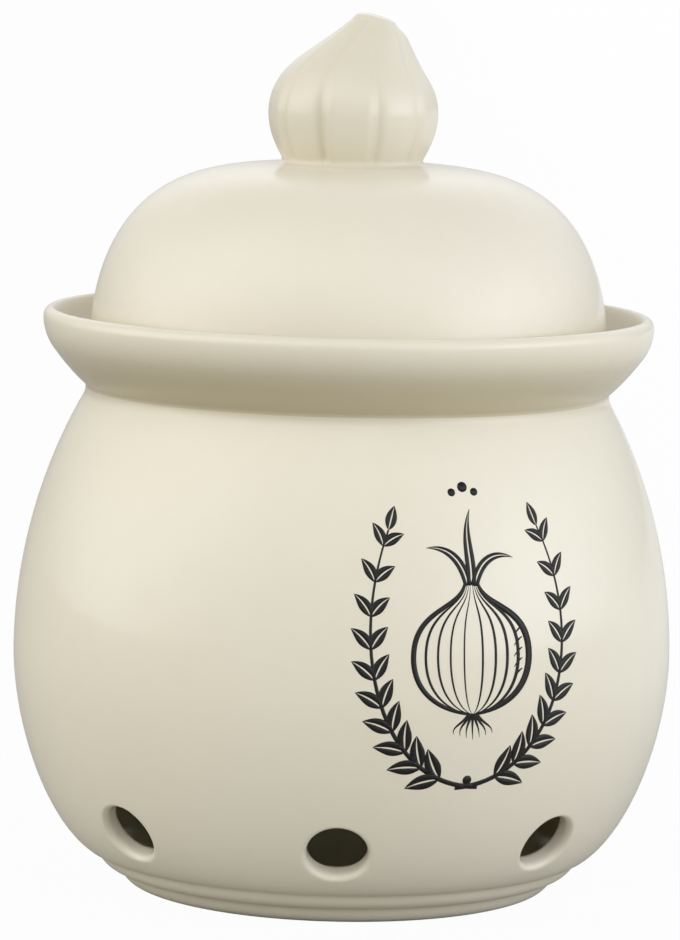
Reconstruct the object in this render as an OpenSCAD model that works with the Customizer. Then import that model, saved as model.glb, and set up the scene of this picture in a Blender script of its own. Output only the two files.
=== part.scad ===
// Onion keeper: a round-bellied glazed pot with a ring of air vents, a domed lid
// that sits down inside the flared rim, and a lobed bulb for a knob.
// Millimetres, +Z up. The origin is on the table, under the middle of the foot.

/* [Pot] */
// Widest diameter of the belly
belly_d = 180; // [160:1:220]
// Height of the belly's widest line above the table
belly_z = 65; // [50:1:80]
// Diameter at the neck, where the shoulder turns into the rim
neck_d = 143; // [125:0.5:155]
// Height of the neck above the table
neck_z = 135.5; // [120:0.5:142]
// Length of each side of the neck's crease that is softened
neck_soft = 2; // [1:0.5:8]
// Outer diameter of the flared rim
rim_d = 166.5; // [160:0.5:190]
// Height of the rim's crest above the table
pot_h = 158.5; // [150:0.5:180]
// Radius of the curl under the lip
rim_curl = 14; // [8:0.5:16]
// Thickness of the pot's wall
pot_wall = 5; // [3.5:0.1:7]
// Thickness of the pot's floor
floor_t = 5.5; // [4:0.1:8]
// Height over the floor at which the wall starts to sweep into it
floor_sweep = 9; // [6:0.5:16]

/* [Foot] */
// Diameter at the tooled crease between the belly and the foot
crease_d = 133; // [120:0.5:145]
// Height of that crease above the table
crease_z = 9.5; // [6:0.5:14]
// Outer diameter of the ring that stands on the table
foot_d = 108; // [95:0.5:118]
// Number of tooled rolls between the crease and the table
roll_count = 2; // [1:1:3]
// How far each roll swells out of the foot's slope
roll_swell = 1.1; // [0.5:0.1:1.4]
// Width of the flat ring that stands on the table
ring_w = 8; // [5:0.5:14]
// Depth of the recess inside that ring
base_recess = 2.5; // [1:0.1:4]

/* [Vents] */
// Number of air vents around the base of the belly
vent_count = 8; // [4:1:10]
// Diameter of each vent's bore
vent_d = 16; // [8:0.5:18]
// Height of the vents' middles above the table
vent_z = 22.5; // [21:0.5:40]
// Radius of the soft outer edge of each vent
vent_round = 1.5; // [0.5:0.1:2.5]

/* [Lid] */
// Outer diameter of the lid's dome
dome_d = 141; // [138:0.5:146]
// Rise of the dome from its upright side to its crown
dome_h = 48.8; // [30:0.2:60]
// Upright height between the seat and the start of the dome
lid_skirt = 7; // [4:0.2:14]
// Thickness of the lid's wall
lid_wall = 5; // [3.5:0.1:6]
// Gap between the lid's seat and the pot's funnel
seat_gap = 0.3; // [0.2:0.05:0.8]
// Gap around the lid's locating flange, inside the neck
flange_gap = 2.5; // [1:0.1:5]
// Length of the flange below the seat
flange_l = 7; // [4:0.5:14]
// Length of each side of a lid edge that is softened
edge_soft = 1.8; // [0.6:0.1:2.2]

/* [Knob] */
// Diameter of the knob's base
knob_base_d = 38; // [30:0.5:42]
// Widest diameter of the knob
knob_d = 47; // [42:0.5:60]
// Height of the knob's widest line above its base
knob_widest = 14; // [10:0.5:18]
// Height of the knob
knob_h = 41; // [34:0.5:50]
// Diameter of the knob's blunt tip
tip_d = 11; // [6:0.5:14]
// Height of the soft edge around the tip
tip_soft = 1.6; // [0.8:0.1:3]
// How far the tip leans to the right
tip_lean = 5.5; // [0:0.1:8]
// Height above the knob's base at which the lean starts
lean_start = 24; // [16:0.5:28]
// Number of cloves around the knob
clove_count = 10; // [6:1:12]
// Depth of the creases between the cloves
clove_depth = 1.1; // [0.4:0.1:2.4]
// Height above the knob's base at which the creases have run out
crease_top = 31; // [22:0.5:34]
// Turn of the cloves around the knob, from the front towards the right
clove_turn = 15; // [0:1:36]
// Thickness of the knob's wall
knob_wall = 5; // [3.5:0.1:6]
// Height of the hollow inside the knob
hollow_h = 27; // [18:0.5:28]
// Width of the crown's flat around the knob's base
crown_rim = 1.2; // [0.5:0.1:3]
// Diameter of the air hole from the lid into the hollow knob
air_hole_d = 6; // [3:0.5:9]

/* [Hidden] */
$fn = 96;
cream = "#e8e2d2";

// How far cutting shapes run past the faces that they cut
past = 20;
// Shortest straight part of the flare, which carries the lid's seat
flare_min = 10;
// Walls between the crease outside and the start of the floor's sweep inside
crease_walls = 1.3;
// The most of the lid's wall that one soft edge may take
soft_share = 0.45;
// Powers of the curve under the belly's widest line, and of its swell
under_bend = 1.785;
under_swell = 0.643;
// Powers of the dome: its plan fills out more than its rise
dome_plan = 4;
dome_rise = 2;
// Rise of a vent's cutting shape from the edge of its mouth to its brim
vent_brim = 5;
// Fullness of the knob's outline: its belly, its shoulder, and the draw up to its tip
belly_full = 0.7;
shoulder_full = 0.4;
draw_reach = 0.32;
draw_rise = 0.36;
// The most of the knob's radius that a crease may take
crease_share = 0.25;
// How much tighter a crease is than a plain wave
crease_tight = 4;
// Steps along a curve, around a knob's clove, over a softened edge, and up the knob
curve_steps = 14;
clove_steps = 7;
soft_steps = 5;
roll_steps = 7;
knob_belly_steps = 4;
knob_top_steps = 9;
tip_steps = 3;

belly_r = belly_d / 2;
neck_r = neck_d / 2;
rim_r = rim_d / 2;
crease_r = crease_d / 2;
foot_r = foot_d / 2;
vent_r = vent_d / 2;
dome_r = dome_d / 2;
floor_z = base_recess + floor_t;
lip_r = pot_wall / 2;

// Points of a profile are [distance from the axis, height].
function bezier(p, t) =
    len(p) == 1 ? p[0]
    : bezier([for (i = [0 : len(p) - 2]) p[i] * (1 - t) + p[i + 1] * t], t);
function curve(p, steps) = [for (i = [0 : steps]) bezier(p, i / steps)];
function arc(c, r, a0, a1, steps) =
    [for (i = [0 : steps]) let (a = a0 + (a1 - a0) * i / steps) c + r * [cos(a), sin(a)]];
function unit(v) = v / norm(v);
// A corner rounded off over a length of each of its two sides
function soften(before, corner, after, size) =
    curve([corner + size * unit(before - corner), corner, corner + size * unit(after - corner)],
          soft_steps);
// The outward normal at a point of a line that runs upwards, and the line moved inwards
function outward(p, i) =
    let (d = p[min(i + 1, len(p) - 1)] - p[max(i - 1, 0)]) unit([d[1], -d[0]]);
function inset(p, t) = [for (i = [0 : len(p) - 1]) p[i] - t * outward(p, i)];
function reverse(p) = [for (i = [len(p) - 1 : -1 : 0]) p[i]];

// The belly under its widest line, from the crease up
function under_r(z) =
    let (u = (belly_z - z) / (belly_z - crease_z))
    crease_r + (belly_r - crease_r) * pow(max(1 - pow(max(u, 0), under_bend), 0), under_swell);
under = [for (i = [0 : curve_steps])
    let (z = crease_z + (belly_z - crease_z) * (1 - cos(90 * i / curve_steps))) [under_r(z), z]];

// The shoulder is an arc, upright at the widest line and ending at the neck.
shoulder_w = belly_r - neck_r;
shoulder_h = neck_z - belly_z;
shoulder_r = (shoulder_w * shoulder_w + shoulder_h * shoulder_h) / (2 * shoulder_w);
shoulder_c = [belly_r - shoulder_r, belly_z];
neck_a = asin(shoulder_h / shoulder_r);
neck_from = neck_a - neck_soft / shoulder_r * 180 / PI;
shoulder = arc(shoulder_c, shoulder_r, 0, neck_from, curve_steps);

// The rim flares in a straight line from the neck to its curl, which a low rim tightens.
neck = [neck_r, neck_z];
flare_w = rim_r - neck_r;
flare_h = pot_h - lip_r - neck_z;
curl_r = min(rim_curl, (flare_w * flare_w + flare_h * flare_h - flare_min * flare_min) / (2 * flare_w));
curl_c = [rim_r - curl_r, pot_h - lip_r];
to_curl = curl_c - neck;
flare_a = atan2(to_curl[1], to_curl[0]) - asin(curl_r / norm(to_curl));
flare = [cos(flare_a), sin(flare_a)];
flare_in = [-flare[1], flare[0]];
curl = arc(curl_c, curl_r, flare_a - 90, 0, soft_steps);
skin = concat(
    under,
    [for (i = [1 : len(shoulder) - 2]) shoulder[i]],
    soften(shoulder[len(shoulder) - 1], neck, curl[0], neck_soft),
    curl);

// The inside follows the skin at the wall's thickness, and sweeps into the floor well above the crease.
inner = inset(skin, pot_wall);
sweep_z = max(floor_z + floor_sweep, crease_z + crease_walls * pot_wall);
inside = concat(
    [[lookup(sweep_z, [for (p = inner) [p[1], p[0]]]), sweep_z]],
    [for (p = inner) if (p[1] > sweep_z) p]);
floor_corner = inside[0] + (inside[0] - inside[1]) * (inside[0][1] - floor_z)
    / (inside[1][1] - inside[0][1]);
sweep = soften(inside[0], floor_corner, [0, floor_z], norm(inside[0] - floor_corner));

// The foot slopes in from the crease to the table in a row of rolls.
foot_slope = [crease_r, crease_z] - [foot_r, 0];
foot_out = unit([foot_slope[1], -foot_slope[0]]);
rolls = [for (i = [0 : roll_count * roll_steps - 1])
    [foot_r, 0] + foot_slope * i / (roll_count * roll_steps)
    + foot_out * roll_swell * abs(sin(180 * i / roll_steps))];

// A vent stands square to the belly's skin.
vent_slope = (under_r(vent_z + 1) - under_r(vent_z - 1)) / 2;
vent_a = atan(vent_slope);
// How far the curved skin falls away under the edge of a vent
vent_drop = vent_r * vent_r / (2 * belly_r);

// A point of the funnel inside the rim, at a depth under its face and a distance from the axis
function funnel(depth, r) =
    let (p = neck + (pot_wall + depth) * flare_in) p + flare * (r - p[0]) / flare[0];
seat_out = funnel(seat_gap, dome_r);
spring_z = seat_out[1] + lid_skirt;
crown_z = spring_z + dome_h;
flange_r = min([for (p = inside) if (p[1] > belly_z) p[0]]) - flange_gap;
flange_top = funnel(seat_gap, flange_r);
flange_end = flange_top[1] - flange_l;
flange_in = flange_r - lid_wall;

// The dome's height at a distance from the axis, and its curve from the crown's flat down
crown_r = knob_base_d / 2 + crown_rim;
function dome(r, h, at) = h * pow(max(1 - pow(at / r, dome_plan), 0), 1 / dome_rise);
crown_flat_z = spring_z + dome(dome_r, dome_h, crown_r);
function dome_curve(r, h, from) =
    [for (i = [0 : 2 * curve_steps])
        let (at = from + (r - from) * sin(45 * i / curve_steps)) [at, spring_z + dome(r, h, at)]];

// The knob's outline over its base: up to its widest line, over its shoulder, and to its tip
knob_r = knob_d / 2;
tip_r = tip_d / 2;
tip_h = knob_h - tip_soft;
draw_h = tip_h - knob_widest;
knob_belly = [[knob_base_d / 2, 0], [knob_r, belly_full * knob_widest], [knob_r, knob_widest]];
knob_top = [[knob_r, knob_widest], [knob_r, knob_widest + shoulder_full * draw_h],
    [tip_r + draw_reach * draw_h, tip_h - draw_rise * draw_h], [tip_r, tip_h]];
knob_line = concat(
    curve(knob_belly, knob_belly_steps),
    [for (i = [1 : knob_top_steps]) bezier(knob_top, i / knob_top_steps)],
    [for (i = [1 : tip_steps - 1])
        let (a = 90 * i / tip_steps) [tip_r * cos(a), tip_h + tip_soft * sin(a)]]);
// The hollow follows the outline at the wall's thickness, up to a flat roof.
cavity_line = [for (p = knob_line) if (p[1] < hollow_h) p - [knob_wall, 0]];
function lean(h) =
    let (s = min(max((h - lean_start) / (knob_h - lean_start), 0), 1)) tip_lean * s * s * (3 - 2 * s);
clove_sides = clove_count * clove_steps;
function groove(a) = pow((1 + cos((a - clove_turn) * clove_count)) / 2, crease_tight);
function run_out(h) =
    let (s = min(max((h - knob_widest) / (crease_top - knob_widest), 0), 1)) 1 - s * s * (3 - 2 * s);
function knob_ring(p, depth) =
    [for (k = [0 : clove_sides - 1])
        let (a = 360 * k / clove_sides + clove_turn,
             crease = min(depth, p[0] * crease_share) * groove(a) * run_out(p[1]))
        [lean(p[1]) + (p[0] - crease) * sin(a), -(p[0] - crease) * cos(a), crown_flat_z + p[1]]];

// The skin between two rings of equal count, and a fan from a ring to a point
function band(first, second, n) =
    [for (k = [0 : n - 1]) each let (m = (k + 1) % n)
        [[first + k, second + k, second + m], [first + k, second + m, first + m]]];
function fan(first, point, n) = [for (k = [0 : n - 1]) [first + k, point, first + (k + 1) % n]];
function flipped(faces) = [for (f = faces) [f[0], f[2], f[1]]];

module vent_cutter() {
    mouth = vent_r + vent_round;
    edge = arc([mouth, -vent_drop - vent_round], vent_round, 180, 90, soft_steps);
    rotate_extrude()
        polygon(concat([[0, -past], [vent_r, -past]], edge, [[mouth + past, vent_brim], [0, vent_brim]]));
}

module pot() {
    color(cream)
    difference() {
        rotate_extrude()
            polygon(concat(
                [[0, base_recess], [foot_r - ring_w - base_recess, base_recess], [foot_r - ring_w, 0]],
                rolls,
                skin,
                [for (i = [1 : 2 * soft_steps]) curl_c + [curl_r - lip_r, 0]
                    + lip_r * [cos(90 * i / soft_steps), sin(90 * i / soft_steps)]],
                reverse([for (i = [1 : len(inside) - 2]) inside[i]]),
                sweep,
                [[0, floor_z]]));
        for (k = [0 : vent_count - 1])
            rotate([0, 0, 360 * k / vent_count])
                translate([0, -under_r(vent_z), vent_z])
                    rotate([90 + vent_a, 0, 0])
                        vent_cutter();
    }
}

module lid() {
    inner_out = funnel(seat_gap + lid_wall, dome_r - lid_wall);
    inner_low = funnel(seat_gap + lid_wall, flange_in);
    flange_soft = min(edge_soft, soft_share * lid_wall);
    color(cream)
    difference() {
        rotate_extrude()
            polygon(concat(
                [[0, crown_flat_z]],
                dome_curve(dome_r, dome_h, crown_r),
                soften([dome_r, spring_z], seat_out, flange_top, edge_soft),
                [flange_top],
                soften(flange_top, [flange_r, flange_end], [flange_in, flange_end], flange_soft),
                soften([flange_r, flange_end], [flange_in, flange_end], inner_low, flange_soft),
                [inner_low, inner_out],
                reverse(dome_curve(dome_r - lid_wall, dome_h - lid_wall, 0))));
        translate([0, 0, crown_z - past])
            cylinder(d = air_hole_d, h = 2 * past);
    }
}

module knob() {
    rings = len(knob_line);
    holes = len(cavity_line);
    n = clove_sides;
    tip = (rings + holes) * n;
    points = concat(
        [for (p = knob_line) each knob_ring(p, clove_depth)],
        [for (p = cavity_line) each knob_ring(p, 0)],
        [[lean(knob_h), 0, crown_flat_z + knob_h],
         [lean(cavity_line[holes - 1][1]), 0, crown_flat_z + cavity_line[holes - 1][1]]]);
    faces = concat(
        [for (i = [0 : rings - 2]) each band(i * n, (i + 1) * n, n)],
        fan((rings - 1) * n, tip, n),
        [for (i = [0 : holes - 2]) each flipped(band((rings + i) * n, (rings + i + 1) * n, n))],
        flipped(fan((rings + holes - 1) * n, tip + 1, n)),
        flipped(band(0, rings * n, n)));
    color(cream) polyhedron(points, faces);
}

pot();
lid();
knob();
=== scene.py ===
import math
from bisect import bisect

import bpy
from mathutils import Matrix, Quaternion, Vector


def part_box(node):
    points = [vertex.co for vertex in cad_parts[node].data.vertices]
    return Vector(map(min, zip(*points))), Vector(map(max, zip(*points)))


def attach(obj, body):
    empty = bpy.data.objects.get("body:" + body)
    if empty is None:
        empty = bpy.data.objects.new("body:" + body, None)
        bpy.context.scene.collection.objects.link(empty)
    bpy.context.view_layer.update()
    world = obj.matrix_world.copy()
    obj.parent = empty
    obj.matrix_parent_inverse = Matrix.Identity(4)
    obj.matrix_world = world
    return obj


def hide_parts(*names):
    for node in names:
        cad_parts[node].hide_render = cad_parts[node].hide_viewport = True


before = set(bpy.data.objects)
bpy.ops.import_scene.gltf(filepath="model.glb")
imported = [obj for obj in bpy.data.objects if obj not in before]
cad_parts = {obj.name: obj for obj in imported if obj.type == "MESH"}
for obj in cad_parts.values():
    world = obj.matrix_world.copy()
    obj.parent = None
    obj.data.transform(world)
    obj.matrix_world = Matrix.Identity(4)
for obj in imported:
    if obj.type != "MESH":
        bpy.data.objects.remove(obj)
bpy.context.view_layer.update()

# Pot: one slip-cast stoneware body with a tooled foot, a round belly and a flared rim. It is dipped in a
# cream glaze inside and out, and the ring that it stands on is wiped bare before the firing.
mm = 0.001
weld = 0.01 * mm
pot_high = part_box("pot")[1]
belly_r = pot_high.x
pot_h = pot_high.z
belly_z = 65 * mm
crease = Vector((66.5, 9.5)) * mm
under_bend = 1.785
under_swell = 0.643
neck = Vector((71.5, 135.5)) * mm
neck_soft = 1.3 * mm
collar_h = 2.2 * mm
collar_soft = 0.7 * mm
flare_round = 8 * mm
rim_r = 83.25 * mm
rim_curl = 14 * mm
wall = 5 * mm
lip = wall / 2
lip_crest = 2.2 * mm
lip_flat = 1.9 * mm
lip_slope = 4.5 * mm
foot_r = 54 * mm
roll_count = 2
roll_swell = 1.1 * mm
ring_w = 8 * mm
ring_soft = 0.7 * mm
base_recess = 2.5 * mm
floor_z = base_recess + 5.5 * mm
sweep_z = floor_z + 9 * mm
vent_count = 8
vent_z = 22.5 * mm
columns = 36
sector = math.tau / vent_count
column = sector / columns


def bezier(points, t):
    """The point at the share t of the curve that these control points draw."""
    while len(points) > 1:
        points = [a.lerp(b, t) for a, b in zip(points, points[1:])]
    return points[0]


def curve(points, steps):
    return [bezier(points, i / steps) for i in range(steps + 1)]


def arc(centre, radius, start, end, steps):
    angles = [start + (end - start) * i / steps for i in range(steps + 1)]
    return [centre + radius * Vector((math.cos(a), math.sin(a))) for a in angles]


def softened(before, corner, after, size, steps):
    """A corner of an outline, rounded over the same length of both its sides."""
    first = corner + size * (before - corner).normalized()
    last = corner + size * (after - corner).normalized()
    return curve([first, corner, last], steps)


def under_belly(z):
    """The belly's radius at a height below its widest line."""
    fall = max((belly_z - z) / (belly_z - crease.y), 0)
    return crease.x + (belly_r - crease.x) * max(1 - fall ** under_bend, 0) ** under_swell


def inset(line, depth):
    """A line of the outside, moved into the clay by a depth."""
    moved = []
    for i, p in enumerate(line):
        along = line[min(i + 1, len(line) - 1)] - line[max(i - 1, 0)]
        moved.append(p - depth * Vector((along.y, -along.x)).normalized())
    return moved


# The pot's skin is one line from the tooled crease over the belly to the neck, measured along itself.
rise = belly_z - crease.y
lower_steps = 400
lower_turns = [math.pi / 2 * i / lower_steps for i in range(lower_steps + 1)]
lower_heights = [crease.y + rise * (1 - math.cos(a)) for a in lower_turns]
lower = [Vector((under_belly(z), z)) for z in lower_heights]
shoulder_w = belly_r - neck.x
shoulder_h = neck.y - belly_z
shoulder_r = (shoulder_w ** 2 + shoulder_h ** 2) / (2 * shoulder_w)
shoulder_end = math.asin(shoulder_h / shoulder_r) - neck_soft / shoulder_r
shoulder = arc(Vector((belly_r - shoulder_r, belly_z)), shoulder_r, 0, shoulder_end, steps=300)
skin = lower + shoulder[1:]
skin_s = [0]
for a, b in zip(skin, skin[1:]):
    skin_s.append(skin_s[-1] + (b - a).length)


def length_at(z):
    """The length along the skin's line at which it reaches a height."""
    return next(s for s, p in zip(skin_s, skin) if p.y >= z)


def on_line(s):
    """The point of the skin's line at a length from the crease."""
    i = min(max(bisect(skin_s, s), 1), len(skin) - 1)
    return skin[i - 1].lerp(skin[i], (s - skin_s[i - 1]) / (skin_s[i] - skin_s[i - 1]))


def skin_line(s, depth):
    """That point, moved into the clay by a depth."""
    reach = 0.5 * mm
    along = on_line(s + reach) - on_line(s - reach)
    return on_line(s) - depth * Vector((along.y, -along.x)).normalized()


def on_skin(s, turn, depth=0):
    """The same point on the pot, turned to the right from the front."""
    p = skin_line(s, depth)
    return Vector((p.x * math.sin(turn), -p.x * math.cos(turn), p.y))


# At the vents the skin's rows are as far apart as its columns, so that a vent takes a square window.
belly_s = skin_s[len(lower) - 1]
vent_s = length_at(vent_z)
row = vent_s / round(vent_s / (column * under_belly(vent_z)))
rows = [row * i for i in range(int(belly_s / row))]
shoulder_rows = 30
rows += [belly_s + (skin_s[-1] - belly_s) * i / shoulder_rows for i in range(shoulder_rows)]

# The rim stands on a low collar at the neck, flares from it into a curl, and ends in a rounded lip.
curl_c = Vector((rim_r - rim_curl, pot_h - lip))
to_curl = curl_c - neck
flare_a = math.atan2(to_curl.y, to_curl.x) - math.asin(rim_curl / to_curl.length)
flare_along = Vector((math.cos(flare_a), math.sin(flare_a)))
curl = arc(curl_c, rim_curl, flare_a - math.pi / 2, 0, steps=14)
collar_top = neck + Vector((0, collar_h))
flare = curve([collar_top, curl[0] - flare_round * flare_along, curl[0]], steps=12)
collar = softened(skin[-1], neck, collar_top, neck_soft, steps=6)
collar += softened(neck, collar_top, flare[1], collar_soft, steps=6)
rim = collar + flare[2:-1] + curl
quarter_steps = 8
quarter_turn = [math.pi / 2 * i / quarter_steps for i in range(1, quarter_steps + 1)]
lip_round = []
for a in quarter_turn:
    lip_round.append(Vector((rim_r - lip_crest * (1 - math.cos(a)), pot_h - lip * (1 - math.sin(a)))))

# The foot slopes in from the crease to the table in a row of rolls, and stands on a flat ring.
roll_steps = 14
ring_out = Vector((foot_r, 0))
ring_in = Vector((foot_r - ring_w, 0))
recess = Vector((foot_r - ring_w - base_recess, base_recess))
slope = crease - ring_out
slope_out = Vector((slope.y, -slope.x)).normalized()
rolls = []
for i in range(1, roll_count * roll_steps):
    swell = roll_swell * abs(math.sin(math.pi * i / roll_steps))
    rolls.append(ring_out + slope * i / (roll_count * roll_steps) + slope_out * swell)
base = [Vector((0, base_recess)), Vector((recess.x / 2, base_recess))]
base += softened(base[1], recess, ring_in, ring_soft, steps=4)
base += softened(recess, ring_in, ring_out, ring_soft, steps=4)
base += softened(ring_in, ring_out, rolls[0], ring_soft / 2, steps=4)

# The inside slopes from the lip's crest to the straight seat that the lid rests on, follows the outside at
# the wall's thickness, and sweeps into the floor.
inner_neck = softened(skin[-1], neck, curl[0], neck_soft, steps=10)
seat_steps = 5
seat = [inner_neck[-1].lerp(curl[0], i / seat_steps) for i in range(1, seat_steps + 1)]
inner_rim = inset(inner_neck + seat, wall)
inner_top = inner_rim[-1]
inner_crest = lip_round[-1] - Vector((lip_flat, 0))
inner_lip = curve([lip_round[-1], inner_crest, inner_top + lip_slope * flare_along, inner_top], steps=12)
inner_rows = [skin_line(s, wall) for s in rows]
inner_rows = [p for p in inner_rows if p.y > sweep_z]
wall_end = inner_rows[0]
lean = wall_end - inner_rows[1]
floor_corner = wall_end + lean * (wall_end.y - floor_z) / -lean.y
floor_end = Vector((floor_corner.x - (wall_end - floor_corner).length, floor_z))
floor_sweep = curve([wall_end, floor_corner, floor_end], steps=8)
floor = [floor_end * share + Vector((0, floor_z)) * (1 - share) for share in (0.75, 0.5, 0.25, 0)]
outside = base + rolls + [on_line(s) for s in rows] + rim + lip_round
inside = inner_lip[1:-1] + inner_rim[::-1] + inner_rows[::-1] + floor_sweep[1:] + floor
pot_outline = outside + inside


def turned(name, outline, start, sweep, steps):
    """A new piece: an outline of distances from the axis and heights, spun about the axis from a turn."""
    def place(p):
        return Vector((p.x * math.sin(start), -p.x * math.cos(start), p.y))

    bpy.ops.object.select_all(action="DESELECT")
    bpy.ops.mesh.primitive_plane_add()
    piece = bpy.context.object
    piece.name = name
    piece.data.name = name
    bpy.ops.object.mode_set(mode="EDIT")
    bpy.ops.mesh.merge(type="CENTER")
    bpy.ops.transform.translate(value=place(outline[0]))
    for a, b in zip(outline, outline[1:]):
        bpy.ops.mesh.extrude_vertices_move(TRANSFORM_OT_translate={"value": place(b) - place(a)})
    bpy.ops.mesh.select_all(action="SELECT")
    bpy.ops.mesh.spin(steps=steps, angle=sweep, center=(0, 0, 0), axis=(0, 0, -1))
    bpy.ops.mesh.select_all(action="SELECT")
    bpy.ops.mesh.remove_doubles(threshold=weld)
    bpy.ops.object.mode_set(mode="OBJECT")
    return piece


def closed(piece):
    """Welds a finished piece, turns its faces outwards and smooths it."""
    bpy.ops.object.select_all(action="DESELECT")
    piece.select_set(True)
    bpy.context.view_layer.objects.active = piece
    bpy.ops.object.mode_set(mode="EDIT")
    bpy.ops.mesh.select_all(action="SELECT")
    bpy.ops.mesh.remove_doubles(threshold=weld)
    bpy.ops.mesh.normals_make_consistent(inside=False)
    bpy.ops.object.mode_set(mode="OBJECT")
    bpy.ops.object.shade_smooth()


pot = turned("pot_body", pot_outline, -sector / 2, sector, steps=columns)

# Vents: eight bores square to the belly, cut in the soft clay, with their edges wiped round by a wet sponge.
# One eighth of the pot is cut and then copied round, so each vent takes a square window out of its skin.
vent_r = 8 * mm
vent_round = 1.7 * mm
vent_lip = 2.6 * mm
vent_mouth = vent_r + vent_round
inner_mouth = 9.3 * mm
half_window = 6
vent_sides = 8 * half_window
vent_axis = (on_skin(vent_s, 0) - on_skin(vent_s, 0, wall)).normalized()
# How much wider than the bore the vent is, at each share of the wall's thickness below its lip.
vent_bore = ((0, 0.6), (0, 0.75), (0, 0.85), (0.1 * mm, 0.92), (0.35 * mm, 0.97))
# Each ring of a vent: its share of the square window, its radius and its depth, from the skin to the inside.
vent_rings = [(share, vent_mouth, 0) for share in (1, 0.66, 0.33, 0)]
for a in quarter_turn:
    vent_rings.append((0, vent_mouth - vent_round * math.sin(a), vent_lip * (1 - math.cos(a))))
vent_rings += [(0, vent_r + wider, wall * share) for wider, share in vent_bore]
vent_rings += [(share, inner_mouth, wall) for share in (0, 0.5, 1)]


def window_edge(k):
    """A point of the window's edge, in columns and rows from its middle, counted round from a corner."""
    side, step = divmod(k % vent_sides, 2 * half_window)
    x, y = half_window - step, half_window
    for _ in range(side):
        x, y = -y, x
    return x, y


def vent_point(k, share, radius, depth):
    """A point of a vent's ring, drawn out to the window's edge by a share."""
    around = math.pi / 4 + math.tau * k / vent_sides
    x, y = window_edge(k)
    s = vent_s + radius * math.sin(around)
    turn = radius * math.cos(around) / on_line(s).x
    s += (vent_s + y * row - s) * share
    turn += (x * column - turn) * share
    if depth == wall:
        return on_skin(s, turn, wall)
    return on_skin(s, turn) - vent_axis * depth


def in_window(centre):
    """Whether a face with this middle lies in the window, on the outside or on the inside."""
    turn = math.atan2(centre.x, -centre.y)
    across = math.hypot(centre.x, centre.y)
    for depth in (0, wall):
        low = skin_line(vent_s - half_window * row, depth)
        high = skin_line(vent_s + half_window * row, depth)
        level = (centre.z - low.y) / (high.y - low.y)
        near = abs(across - (low.x + (high.x - low.x) * level)) < wall / 2
        if abs(turn) < half_window * column and 0 < level < 1 and near:
            return True
    return False


bpy.ops.object.mode_set(mode="EDIT")
bpy.ops.mesh.select_mode(type="FACE")
bpy.ops.mesh.select_all(action="DESELECT")
bpy.ops.object.mode_set(mode="OBJECT")
for face in pot.data.polygons:
    face.select = in_window(face.center)
bpy.ops.object.mode_set(mode="EDIT")
bpy.ops.mesh.delete(type="FACE")
bpy.ops.mesh.select_mode(type="VERT")
bpy.ops.object.mode_set(mode="OBJECT")
ring_steps = len(vent_rings) - 1
bpy.ops.mesh.primitive_grid_add(x_subdivisions=vent_sides, y_subdivisions=ring_steps, size=1)
vent = bpy.context.object
for v in vent.data.vertices:
    k = round((v.co.x + 0.5) * vent_sides)
    v.co = vent_point(k, *vent_rings[round((v.co.y + 0.5) * ring_steps)])
pot.select_set(True)
bpy.context.view_layer.objects.active = pot
bpy.ops.object.join()
bpy.ops.object.mode_set(mode="EDIT")
bpy.ops.mesh.select_all(action="SELECT")
copies = vent_count - 1
bpy.ops.mesh.spin(steps=copies, dupli=True, angle=sector * copies, center=(0, 0, 0), axis=(0, 0, -1))
bpy.ops.object.mode_set(mode="OBJECT")
closed(pot)


def ramp(x, low, high):
    """A smooth rise from 0 at low to 1 at high."""
    s = min(max((x - low) / (high - low), 0), 1)
    return s * s * (3 - 2 * s)


# A warmer, deeper cream is painted in the hollows of the clay, partly as glaze that gathers there and partly
# as painted shade, and under the rim as painted shade.
# Each hollow: its place in the outline, and how far its deeper colour reaches.
groove = rolls[roll_steps - 1]
hollows = ((crease, 1.2 * mm), (groove, 1 * mm), (neck.lerp(collar_top, 0.5), 1.6 * mm))
hollow_pooling_and_shade = 0.45
pooling_and_shade_values = pot.data.attributes.new("pooling_and_shade", "FLOAT", "POINT")
for v, depth in zip(pot.data.vertices, pooling_and_shade_values.data):
    place = Vector((math.hypot(v.co.x, v.co.y), v.co.z))
    near_hollow = max(math.exp(-((place - hollow).length / reach) ** 2) for hollow, reach in hollows)
    depth.value = hollow_pooling_and_shade * near_hollow
    # Under the rim, on the faces that look down, the deep colour is painted shade: full from the neck to a
    # wall's height above it, fading out towards the lip.
    if place.y > neck.y and v.normal.z < 0:
        depth.value = max(depth.value, 1 - ramp(place.y, neck.y + wall, pot_h))

# Inside, up to the neck, the glaze is thin and dull, and the clay shows through it.
lining_depth = 0.97 * wall
facing_axis = -0.2
facing_up = 0.5
lining_fade = neck.y - 5 * wall
lining_end = neck.y - wall
dull = pot.data.attributes.new("dull", "FLOAT", "POINT")
for v, mask in zip(pot.data.vertices, dull.data):
    across = math.hypot(v.co.x, v.co.y)
    slant = math.hypot(1, (under_belly(v.co.z + mm) - under_belly(v.co.z - mm)) / (2 * mm))
    past_wall = v.co.z > belly_z or across < under_belly(v.co.z) - lining_depth * slant
    inwards = v.normal.x * v.co.x + v.normal.y * v.co.y < facing_axis * across
    on_lining = v.co.z > floor_z - weld and past_wall and (inwards or v.normal.z > facing_up)
    mask.value = on_lining * (1 - ramp(v.co.z, lining_fade, lining_end))


def node(tree, kind, *links, **values):
    """A new node of a material, with values set on it and its named inputs linked or set."""
    made = tree.nodes.new(kind)
    for name, value in values.items():
        setattr(made, name, value)
    for name, value in links:
        if isinstance(value, bpy.types.NodeSocket):
            tree.links.new(value, made.inputs[name])
        else:
            made.inputs[name].default_value = value
    return made


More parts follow.
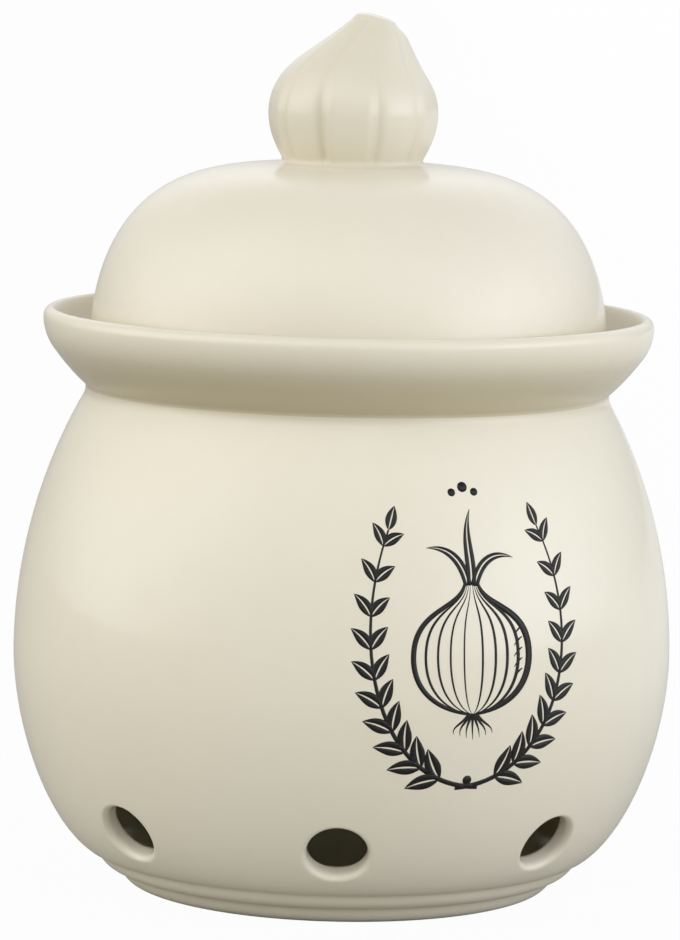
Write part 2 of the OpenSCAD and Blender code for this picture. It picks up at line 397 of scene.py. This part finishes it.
def glaze_group():
    """The glaze's colour, roughness and height, which drift over the piece and follow its pooling and
    painted shade.
    """
    group = bpy.data.node_groups.new("cream_glaze", "ShaderNodeTree")
    colour_kind = "NodeSocketColor"
    value_kind = "NodeSocketFloat"
    for name, kind in (("Thin", colour_kind), ("Deep and shaded", colour_kind), ("Pooling and shade", value_kind)):
        group.interface.new_socket(name, in_out="INPUT", socket_type=kind)
    for name, kind in (("Colour", colour_kind), ("Roughness", value_kind), ("Height", value_kind)):
        group.interface.new_socket(name, in_out="OUTPUT", socket_type=kind)

    def between(noise, low, high):
        """A noise's middle values, spread from low to high."""
        spread = node(group, "ShaderNodeMapRange", ("Value", noise.outputs["Fac"]),
                      ("From Min", 0.3), ("From Max", 0.7), ("To Min", low), ("To Max", high))
        return spread.outputs[0]

    given = node(group, "NodeGroupInput")
    place = node(group, "ShaderNodeTexCoord").outputs["Object"]
    drift = node(group, "ShaderNodeTexNoise", ("Vector", place), ("Scale", 14), ("Detail", 3))
    mottle = node(group, "ShaderNodeTexNoise", ("Vector", place),
                  ("Scale", 160), ("Detail", 4), ("Roughness", 0.6))
    ripple = node(group, "ShaderNodeTexNoise", ("Vector", place), ("Scale", 420), ("Detail", 1))
    tone = node(group, "ShaderNodeMath", (0, between(drift, 0, 0.09)), (1, between(mottle, 0, 0.04)),
                operation="ADD")
    depth = node(group, "ShaderNodeMath", (0, given.outputs["Pooling and shade"]), (1, tone.outputs[0]),
                 operation="ADD", use_clamp=True)
    colour = node(group, "ShaderNodeMix", ("Factor", depth.outputs[0]),
                  ("A", given.outputs["Thin"]), ("B", given.outputs["Deep and shaded"]), data_type="RGBA")
    node(group, "NodeGroupOutput", ("Colour", colour.outputs["Result"]),
         ("Roughness", between(mottle, 0.29, 0.35)), ("Height", ripple.outputs["Fac"]))
    return group


cream_glaze = glaze_group()
glaze_coat = 0.5


def glazed(piece, name, thin, deep_and_shaded):
    """A glazed clay finish, with colours for the thin glaze and for the deep glaze and painted shade."""
    material = bpy.data.materials.new(name)
    material.use_nodes = True
    tree = material.node_tree
    shader = tree.nodes["Principled BSDF"]
    pooling_and_shade = node(tree, "ShaderNodeAttribute", attribute_name="pooling_and_shade").outputs["Fac"]
    glaze = node(tree, "ShaderNodeGroup", ("Thin", (*thin, 1)), ("Deep and shaded", (*deep_and_shaded, 1)), ("Pooling and shade", pooling_and_shade),
                 node_tree=cream_glaze)
    bump = node(tree, "ShaderNodeBump", ("Height", glaze.outputs["Height"]),
                ("Strength", 0.03), ("Distance", 0.2 * mm))
    tree.links.new(glaze.outputs["Colour"], shader.inputs["Base Color"])
    tree.links.new(glaze.outputs["Roughness"], shader.inputs["Roughness"])
    tree.links.new(bump.outputs["Normal"], shader.inputs["Normal"])
    shader.inputs["Coat Weight"].default_value = glaze_coat
    shader.inputs["Coat Roughness"].default_value = 0.08
    shader.inputs["Specular IOR Level"].default_value = 0.3
    piece.data.materials.clear()
    piece.data.materials.append(material)
    return tree, shader, glaze


# The deep colour stands for glaze that gathers and also for painted shade.
pot_thin = (0.800, 0.748, 0.604)
deep_and_shaded_cream = (0.560, 0.490, 0.330)
clay = (0.74, 0.68, 0.57, 1)
inner_glaze = (0.775, 0.712, 0.470, 1)
dull_roughness = 0.8
glaze_line = 0.35 * mm
wiped_line = 0.15 * mm
tree, shader, glaze = glazed(pot, "pot_cream_glaze", pot_thin, deep_and_shaded_cream)
# Bare clay shows on the ring under the foot, up to the line where the glaze was wiped away.
height = node(tree, "ShaderNodeSeparateXYZ", ("Vector", node(tree, "ShaderNodeTexCoord").outputs["Object"]))
bare = node(tree, "ShaderNodeMapRange", ("Value", height.outputs["Z"]),
            ("From Min", glaze_line), ("From Max", wiped_line), ("To Min", 0), ("To Max", 1)).outputs[0]
ground = node(tree, "ShaderNodeMix", ("Factor", bare), ("A", glaze.outputs["Colour"]), ("B", clay),
              data_type="RGBA")
inner = node(tree, "ShaderNodeAttribute", attribute_name="dull").outputs["Fac"]
lining = node(tree, "ShaderNodeMix", ("Factor", inner), ("A", ground.outputs["Result"]), ("B", inner_glaze),
              data_type="RGBA")
duller = node(tree, "ShaderNodeMath", (0, bare), (1, inner), operation="MAXIMUM").outputs[0]
dry = node(tree, "ShaderNodeMix", ("Factor", duller), ("A", glaze.outputs["Roughness"]),
           ("B", dull_roughness))
coat = node(tree, "ShaderNodeMix", ("Factor", duller), ("A", glaze_coat), ("B", 0))
tree.links.new(lining.outputs["Result"], shader.inputs["Base Color"])
tree.links.new(dry.outputs["Result"], shader.inputs["Roughness"])
tree.links.new(coat.outputs["Result"], shader.inputs["Coat Weight"])
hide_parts("pot")
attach(pot, "pot")

# Print: a black ceramic transfer fired onto the belly, right of the middle. It shows an onion drawn in
# engraver's lines, with its shoots and roots, inside a wreath of two leafy sprays that cross at the foot.
# The drawing is in millimetres from its own middle.
print_turn = math.radians(22.5)
print_z = 80 * mm
print_s = length_at(print_z)
ink_lift = 0.035 * mm
drawing_scale = 1.06
leaf_rib = 0.06
leaf_forward = 0.85
leaf_round = 0.9
leaf_point = 0.08
strokes = []


def stroke(points, width, steps=20, edges=(-0.5, 0.5)):
    """One line of the drawing: a curve through control points, with a width that changes along it. edges are
    the two sides of the line that the ink fills."""
    points = [Vector(p) for p in points]
    legs = [b - a for a, b in zip(points, points[1:])]
    bpy.ops.mesh.primitive_grid_add(x_subdivisions=steps, y_subdivisions=2, size=1)
    line = bpy.context.object
    for v in line.data.vertices:
        t = v.co.x + 0.5
        side = edges[0] + (edges[1] - edges[0]) * (v.co.y + 0.5)
        along = bezier(legs, t)
        across = Vector((-along.y, along.x)).normalized()
        p = (bezier(points, t) + across * side * width(t)) * drawing_scale * mm
        s = print_s + p.y
        v.co = on_skin(s, print_turn + p.x / on_line(s).x, -ink_lift)
    strokes.append(line)


def taper(start, middle, end):
    """A line's width, from its start over its middle to its end."""
    return lambda t: start * (1 - t) ** 2 + 2 * middle * t * (1 - t) + end * t ** 2


def halves(rib):
    """The edges of a line's two halves, with the glaze showing between them as its rib."""
    return (rib, 0.5), (-0.5, -rib)


def leaf(stem, along, length, width, bend):
    """A leaf in two halves, from its stem along a direction."""
    tip = stem + along * length
    middle = (stem + tip) / 2 + Vector((-along.y, along.x)) * bend

    def breadth(t):
        return width * math.sin(math.pi * t ** leaf_forward) ** leaf_round + leaf_point

    for edges in halves(leaf_rib):
        stroke([stem, middle, tip], breadth, 12, edges)


def berry(x, y, r):
    stroke([(x - r, y), (x + r, y)], lambda t: 2 * r * math.sqrt(max(1 - (2 * t - 1) ** 2, 0)), 16)


# The bulb has an outline and finer lines inside it, each at a share of its width and with a weight.
bulb_upper = [(1.6, 15), (3, 8), (15.5, 9), (15.5, -3.5)]
bulb_lower = [(15.5, -3.5), (15.5, -12.5), (8, -16.5), (1.1, -17.5)]
bulb_lines = ((1, 1.5), (0.8, 0.75), (0.6, 0.65), (0.39, 0.55), (0.16, 0.45))
outline_end = 0.7
fine_end = 0.06
shaded_weight = 1.25
lit_weight = 0.9
for side in (-1, 1):
    for share, line_weight in bulb_lines:
        upper = [(x * share * side, y) for x, y in bulb_upper]
        under = [(x * share * side, y) for x, y in bulb_lower]
        ends = outline_end if share == 1 else fine_end
        weight = line_weight * (shaded_weight if side > 0 else lit_weight)
        stroke(upper, taper(ends, weight, weight), 24)
        stroke(under, taper(weight, weight, ends), 24)
# Short hatching lines shade the side of the bulb that is turned from the light.
hatch_lines = 5
hatch_low = -9
hatch_step = 2.6
for i in range(hatch_lines):
    low = hatch_low + hatch_step * i
    stroke([(11.2, low), (12.4, low + 1.6), (13.6, low + 2.2)], taper(0.1, 0.8, 0.2), 8)
shoots = [
    ([(0, 14), (0.8, 21), (-1.6, 26), (1.2, 33)], 3.4),
    ([(-0.9, 14), (-2, 21), (-6, 24), (-11, 23.5)], 3),
    ([(0.9, 14), (2.6, 20.5), (7, 22.5), (12, 20.5)], 3),
]
shoot_rib = 0.08
for points, width in shoots:
    for edges in halves(shoot_rib):
        stroke(points, taper(width * 0.7, width, 0.1), 24, edges)
for k in range(-3, 4):
    root = [(0.35 * k, -17.4), (0.8 * k, -20), (1.9 * k, -20.5), (1.7 * k + 0.4, -24 + 0.5 * abs(k))]
    stroke(root, taper(0.8, 0.6, 0.1), 12)
# Each spray of the wreath carries pairs of leaves that get smaller towards its tip, and a leaf at the tip.
spray_curve = ((-3, -36.5), (20, -36), (35, -6), (20, 28))
leaf_pairs = 10
first_leaf = 0.16
leaf_span = 0.8
leaf_turn = math.radians(40)
leaf_length = 9.4
leaf_width = 4.1
leaf_bend = 0.9
leaf_shrink = 0.35
tip_leaf_lean = 0.35
tip_leaf_length = 6.4
tip_leaf_width = 2.7
nearby = 0.01
for side in (-1, 1):
    spray = [Vector((x * side, y)) for x, y in spray_curve]
    stroke(spray, taper(1.3, 1.1, 0.4), 40)
    for i in range(leaf_pairs):
        t = first_leaf + leaf_span * i / (leaf_pairs - 1)
        along = (bezier(spray, t + nearby) - bezier(spray, t - nearby)).normalized()
        size = 1 - leaf_shrink * t
        for hand in (-1, 1):
            outwards = Quaternion((0, 0, 1), leaf_turn * hand) @ along.to_3d()
            leaf(bezier(spray, t), outwards.to_2d(),
                 leaf_length * size, leaf_width * size, -leaf_bend * hand)
    tip_along = Vector((-tip_leaf_lean * side, 1)).normalized()
    leaf(bezier(spray, 1), tip_along, tip_leaf_length, tip_leaf_width, 0)
for x, y, r in ((0, -34.6, 1.2), (-3, 37.3, 1), (0, 38.6, 1.3), (3, 37.3, 1)):
    berry(x, y, r)
bpy.ops.object.select_all(action="DESELECT")
for line in strokes:
    line.select_set(True)
bpy.context.view_layer.objects.active = strokes[0]
bpy.ops.object.join()
transfer = bpy.context.object
transfer.name = "belly_print"
transfer.data.name = "belly_print"
bpy.ops.object.mode_set(mode="EDIT")
bpy.ops.mesh.select_all(action="SELECT")
bpy.ops.mesh.remove_doubles(threshold=weld / 10)
bpy.ops.mesh.dissolve_degenerate(threshold=weld / 10)
bpy.ops.object.mode_set(mode="OBJECT")
bpy.ops.object.shade_smooth()
thickness = transfer.modifiers.new("ink_thickness", "SOLIDIFY")
thickness.thickness = ink_lift
thickness.offset = -1
bpy.ops.object.modifier_apply(modifier=thickness.name)
ink_dark = (0.004, 0.004, 0.003, 1)
ink_light = (0.012, 0.010, 0.009, 1)
ink = bpy.data.materials.new("black_transfer_ink")
ink.use_nodes = True
tree = ink.node_tree
shader = tree.nodes["Principled BSDF"]
grain = node(tree, "ShaderNodeTexNoise", ("Vector", node(tree, "ShaderNodeTexCoord").outputs["Object"]),
             ("Scale", 900), ("Detail", 3))
density = node(tree, "ShaderNodeMix", ("Factor", grain.outputs["Fac"]), ("A", ink_dark), ("B", ink_light),
               data_type="RGBA")
tree.links.new(density.outputs["Result"], shader.inputs["Base Color"])
shader.inputs["Roughness"].default_value = 0.4
shader.inputs["Specular IOR Level"].default_value = 0.3
transfer.data.materials.clear()
transfer.data.materials.append(ink)
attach(transfer, "pot")

# Lid: a slip-cast dome that drops into the flare of the rim and rests on it, with a flange below that keeps
# it from sliding off. A small hole in its crown let air out of the hollow knob in the firing.
lid_low, lid_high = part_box("lid")
dome_r = lid_high.x
dome_h = 48.8 * mm
dome_power = 4
crown_z = lid_high.z
crown_r = 20.2 * mm
lid_wall = 5 * mm
seat_gap = 0.3 * mm
flange_end = lid_low.z
flange_gap = 2.5 * mm
flange_r = min(p.x for p in inner_rim) - flange_gap
edge_soft = 1.8 * mm
air_hole_r = 3 * mm
crown_drop = dome_h * math.sqrt(1 - (crown_r / dome_r) ** dome_power)
spring_z = crown_z - crown_drop


def dome(radius, height, start, steps):
    """A dome's outline from a distance off the axis out to its edge, fuller than a round one."""
    reaches = [start + (radius - start) * math.sin(math.pi / 2 * i / steps) for i in range(steps + 1)]
    rises = [height * math.sqrt(max(1 - (r / radius) ** dome_power, 0)) for r in reaches]
    return [Vector((r, spring_z + rise)) for r, rise in zip(reaches, rises)]


def funnel(depth, r):
    """A point over the inside of the rim's flare, at a depth over its face and a distance from the axis."""
    start = neck + (wall + depth) * Vector((-flare_along.y, flare_along.x))
    return start + flare_along * (r - start.x) / flare_along.x


seat_out = funnel(seat_gap, dome_r)
flange_top = funnel(seat_gap, flange_r)
flange_out = Vector((flange_r, flange_end))
flange_in = Vector((flange_r - lid_wall, flange_end))
inner_low = funnel(seat_gap + lid_wall, flange_in.x)
inner_out = funnel(seat_gap + lid_wall, dome_r - lid_wall)
lid_outline = [Vector((air_hole_r, crown_z)), Vector(((air_hole_r + crown_r) / 2, crown_z))]
lid_outline += dome(dome_r, dome_h, crown_r, steps=60)
lid_outline += softened(Vector((dome_r, spring_z)), seat_out, flange_top, edge_soft, steps=8)
lid_outline += softened(seat_out, flange_top, flange_out, edge_soft / 2, steps=4)
lid_outline += softened(flange_top, flange_out, flange_in, edge_soft, steps=6)
lid_outline += softened(flange_out, flange_in, inner_low, edge_soft, steps=6)
lid_outline += softened(flange_in, inner_low, inner_out, edge_soft / 2, steps=4)
lid_outline += softened(inner_low, inner_out, Vector((dome_r - lid_wall, spring_z)), edge_soft, steps=6)
lid_outline += dome(dome_r - lid_wall, dome_h - lid_wall, air_hole_r, steps=48)[::-1]
lid_outline.append(lid_outline[0])
lid = turned("lid_dome", lid_outline, 0, math.tau, steps=288)
closed(lid)
# Glaze gathers on the crown, along the joint with the knob.
luting = Vector((19 * mm, crown_z))
luting_reach = 2.2 * mm
luting_pooling = 0.4
lid_thin = (0.804, 0.750, 0.614)
pooling_and_shade_values = lid.data.attributes.new("pooling_and_shade", "FLOAT", "POINT")
for v, depth in zip(lid.data.vertices, pooling_and_shade_values.data):
    place = Vector((math.hypot(v.co.x, v.co.y), v.co.z))
    depth.value = luting_pooling * math.exp(-((place - luting).length / luting_reach) ** 2)
glazed(lid, "lid_cream_glaze", lid_thin, deep_and_shaded_cream)
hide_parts("lid")
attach(lid, "lid")

# Knob: a hollow bulb cast in its own mould, with ten cloves drawn up to a blunt tip that leans to the right.
# It is stuck on the lid's crown with slip, and the glaze runs thin on its ridges and deep in its creases.
knob_low, knob_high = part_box("knob")
knob_h = knob_high.z - knob_low.z
knob_base_r = 18.4 * mm
knob_r = 23.2 * mm
knob_widest = 14 * mm
tip_r = 5.5 * mm
tip_soft = 1.6 * mm
tip_lean = 5.5 * mm
lean_start = 24 * mm
hollow_h = 27 * mm
knob_wall = 5 * mm
cloves = 10
slip_r = 21 * mm
slip_sunk = 0.08 * mm
slip_hollow = Vector((knob_base_r + 0.5 * mm, 0.25 * mm))
slip_end = 0.12
tip_h = knob_h - tip_soft
draw = tip_h - knob_widest
# Control points of the bulb's outline, below its widest line and from there up to the tip.
knob_belly = [Vector((knob_base_r, 0)), Vector((knob_base_r + 3 * mm, 5 * mm)),
              Vector((knob_r, knob_widest - 5 * mm)), Vector((knob_r, knob_widest))]
knob_top = [Vector((knob_r, knob_widest)), Vector((knob_r, knob_widest + 0.4 * draw)),
            Vector((tip_r + 0.32 * draw, tip_h - 0.36 * draw)), Vector((tip_r, tip_h))]
slip_steps = 8
belly_steps = 20
knob_skin = curve([Vector((slip_r, -slip_sunk)), slip_hollow, bezier(knob_belly, slip_end)], slip_steps)
for i in range(1, belly_steps + 1):
    knob_skin.append(bezier(knob_belly, slip_end + (1 - slip_end) * i / belly_steps))
knob_skin += curve(knob_top, steps=44)[1:]
knob_skin += [Vector((tip_r * math.cos(a), tip_h + tip_soft * math.sin(a))) for a in quarter_turn]
# The hollow inside follows every fourth point of the skin, up to its flat roof.
hollow = [p - Vector((knob_wall, 0)) for p in knob_skin[slip_steps::4] if p.y < hollow_h]
knob_outline = [Vector((0, hollow[-1].y))] + hollow[::-1] + [Vector((hollow[0].x, 0))] + knob_skin
knob = turned("knob_bulb", knob_outline, 0, math.tau, steps=360)
closed(knob)


def hump(x, middle, width):
    """A smooth bump, 1 high at its middle."""
    return math.exp(-((x - middle) / width) ** 2)


# Creases are soft valleys that start over the slip at the base and fade above the bulb's widest line. Every
# other clove is wider, and pressed in between two thin ridges that run on up to the tip. Widths and places
# across a clove are shares of the clove.
front_clove = math.radians(-2.9)
wide_share = 0.05
crease_deep = 0.85 * mm
crease_w = 0.115
crease_start = 3 * mm
crease_fade = 13 * mm
crease_end = 28 * mm
crease_loss = 0.85
# How much of its full depth each crease was cast with, from the one left of the front round to the right.
crease_shares = (1, 0.6, 0.3, 0.45, 0.7, 0.4, 0.6, 0.35, 0.5, 0.35)
ridge_at = 0.2
ridge_w = 0.08
ridge_h = 0.24 * mm
ridge_loss = 0.6
press = 0.35 * mm
clove_swell = 0.15 * mm
tip_slope = 0.22
tip_slope_h = 6 * mm
tip_rise = 0.8 * mm
crease_pooling = 0.35
slip_pooling = 0.35
slip_reach = 1.5 * mm
# The knob's thin glaze is painted a little darker than the pot's: painted shade.
knob_thin_shaded = (0.750, 0.698, 0.558)
pooling_and_shade_values = knob.data.attributes.new("pooling_and_shade", "FLOAT", "POINT")
for v, depth in zip(knob.data.vertices, pooling_and_shade_values.data):
    across = math.hypot(v.co.x, v.co.y)
    h = v.co.z
    turn = (math.atan2(v.co.x, -v.co.y) - front_clove) * cloves / math.tau
    clove, x = divmod(turn - wide_share * math.sin(math.pi * turn) + 0.5, 1)
    if h > hollow_h or across > knob_base_r - knob_wall / 2:
        from_crease = min(x, 1 - x)
        share = crease_shares[int(clove + (x > 0.5)) % cloves]
        pressed = 1 - int(clove) % 2
        slim = min(across / knob_base_r, 1)
        low = ramp(h, 0, crease_start)
        fading = low * (1 - crease_loss * ramp(h, crease_fade, crease_end))
        middle = math.sin(math.pi * x)
        swell = -crease_deep * share * hump(from_crease, 0, crease_w) * fading
        ridge = ridge_h * share * hump(from_crease, ridge_at, ridge_w) * low
        ridge *= 1 - ridge_loss * ramp(h, knob_widest, tip_h)
        swell += (ridge - press * middle ** 2 * fading) * pressed
        swell += clove_swell * (middle - 1) * low * (1 - pressed)
        grown = 1 + swell * slim / max(across, mm)
        v.co.x *= grown
        v.co.y *= grown
        pooled = crease_pooling * share * hump(from_crease, 0, crease_w) * fading
        depth.value = pooled + slip_pooling * hump(h, 0, slip_reach)
    v.co.z -= tip_slope * max(v.co.x + tip_r, 0) * ramp(h, tip_h - tip_slope_h, knob_h)
    v.co.z += tip_rise * ramp(h, lean_start, knob_h)
    v.co.x += tip_lean * ramp(h, lean_start, knob_h)
    v.co.z += knob_low.z
glazed(knob, "knob_cream_glaze", knob_thin_shaded, deep_and_shaded_cream)
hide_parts("knob")
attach(knob, "lid")

# Studio: a pale paper floor that runs out of sight, under a dim tent with wide soft lights in it: two on
# each side, one over the camera, and three behind that fill in the far side.
# Painted shade and light on the paper, for the light it throws back onto the pot: darker to the left and
# front, lighter towards the right. To the camera it shows white.
paper_shaded = (0.43, 0.42, 0.39, 1)
paper_lit = (0.84, 0.84, 0.83, 1)
bright_from = 0.03
bright_to = 0.35
paper_seen = 0.97
bpy.ops.object.select_all(action="DESELECT")
bpy.ops.mesh.primitive_plane_add(size=60)
paper_floor = bpy.context.object
paper_floor.name = "paper_floor"
paper = bpy.data.materials.new("floor_paper")
paper.use_nodes = True
tree = paper.node_tree
shader = tree.nodes["Principled BSDF"]
floor_point = node(tree, "ShaderNodeTexCoord").outputs["Object"]
floor_axes = node(tree, "ShaderNodeSeparateXYZ", ("Vector", floor_point))
to_right = node(tree, "ShaderNodeMapRange", ("Value", floor_axes.outputs["X"]),
                ("From Min", bright_from), ("From Max", bright_to))
bounce = node(tree, "ShaderNodeMix", ("Factor", to_right.outputs[0]), ("A", paper_shaded), ("B", paper_lit),
              data_type="RGBA")
tree.links.new(bounce.outputs["Result"], shader.inputs["Base Color"])
shader.inputs["Roughness"].default_value = 0.9
shader.inputs["Specular IOR Level"].default_value = 0.1
white = node(tree, "ShaderNodeEmission", ("Color", (1, 1, 1, 1)), ("Strength", 1))
looked_at = node(tree, "ShaderNodeLightPath").outputs["Is Camera Ray"]
seen = node(tree, "ShaderNodeMath", (0, looked_at), (1, paper_seen), operation="MULTIPLY")
both = node(tree, "ShaderNodeMixShader", (0, seen.outputs[0]), (1, shader.outputs[0]), (2, white.outputs[0]))
tree.links.new(both.outputs[0], tree.nodes["Material Output"].inputs["Surface"])
paper_floor.data.materials.append(paper)

tent_strength = 0.03
backdrop_seen = 0.985
light_spread = math.radians(30)
light_width = 1 - math.cos(light_spread)
white_light = Vector((1, 1, 1))
cool_light = Vector((0.96, 1, 1.10))
# Each light: its turn from the front and its height, both in degrees, its strength and its tint.
soft_lights = (
    (60, 5, 2.85, cool_light),
    (90, 5, 1.3, cool_light),
    (-60, 32, 1.85, white_light),
    (-90, 5, 1.85, white_light),
    (0, 36, 1.15, white_light),
    (180, 25, 1.1, white_light),
    (135, 32, 0.5, white_light),
    (-135, 32, 0.4, white_light),
)
world = bpy.data.worlds.new("studio_tent")
bpy.context.scene.world = world
world.use_nodes = True
tree = world.node_tree
looked_towards = node(tree, "ShaderNodeTexCoord").outputs["Generated"]
total = white_light * tent_strength
for degrees_round, degrees_up, strength, tint in soft_lights:
    turn = math.radians(degrees_round)
    climb = math.radians(degrees_up)
    middle = (math.sin(turn) * math.cos(climb), -math.cos(turn) * math.cos(climb), math.sin(climb))
    near = node(tree, "ShaderNodeVectorMath", (0, looked_towards), (1, middle), operation="DOT_PRODUCT")
    away = node(tree, "ShaderNodeMath", (0, near.outputs["Value"]), (1, 1), operation="SUBTRACT")
    fall = node(tree, "ShaderNodeMath", (0, away.outputs[0]), (1, light_width), operation="DIVIDE")
    glow = node(tree, "ShaderNodeMath", (0, fall.outputs[0]), operation="EXPONENT")
    total = node(tree, "ShaderNodeVectorMath", (0, glow.outputs[0]), (1, tint * strength), (2, total),
                 operation="MULTIPLY_ADD").outputs[0]
# To the camera the tent is about as white as the paper.
looked_at = node(tree, "ShaderNodeLightPath").outputs["Is Camera Ray"]
backdrop = node(tree, "ShaderNodeMix", ("Factor", looked_at), ("A", total),
                ("B", (backdrop_seen, backdrop_seen, backdrop_seen, 1)), data_type="RGBA")
tree.links.new(backdrop.outputs["Result"], tree.nodes["Background"].inputs["Color"])

# Camera: a long lens a little above the pot, turned by the photograph's small tilt.
camera_data = bpy.data.cameras.new("studio_camera")
camera_data.sensor_width = 36
camera_data.lens = 204.2
camera_data.clip_end = 100
camera = bpy.data.objects.new("studio_camera", camera_data)
camera.location = Vector((-1.5, -1450, 286.7)) * mm
aim = Vector((-1.5, 0, 114.75)) * mm
tilt = math.radians(1.3)
camera.rotation_mode = "QUATERNION"
camera.rotation_quaternion = (aim - camera.location).to_track_quat("-Z", "Y") @ Quaternion((0, 0, 1), tilt)
bpy.context.scene.collection.objects.link(camera)
bpy.context.scene.camera = camera
bpy.context.scene.view_settings.view_transform = "Standard"
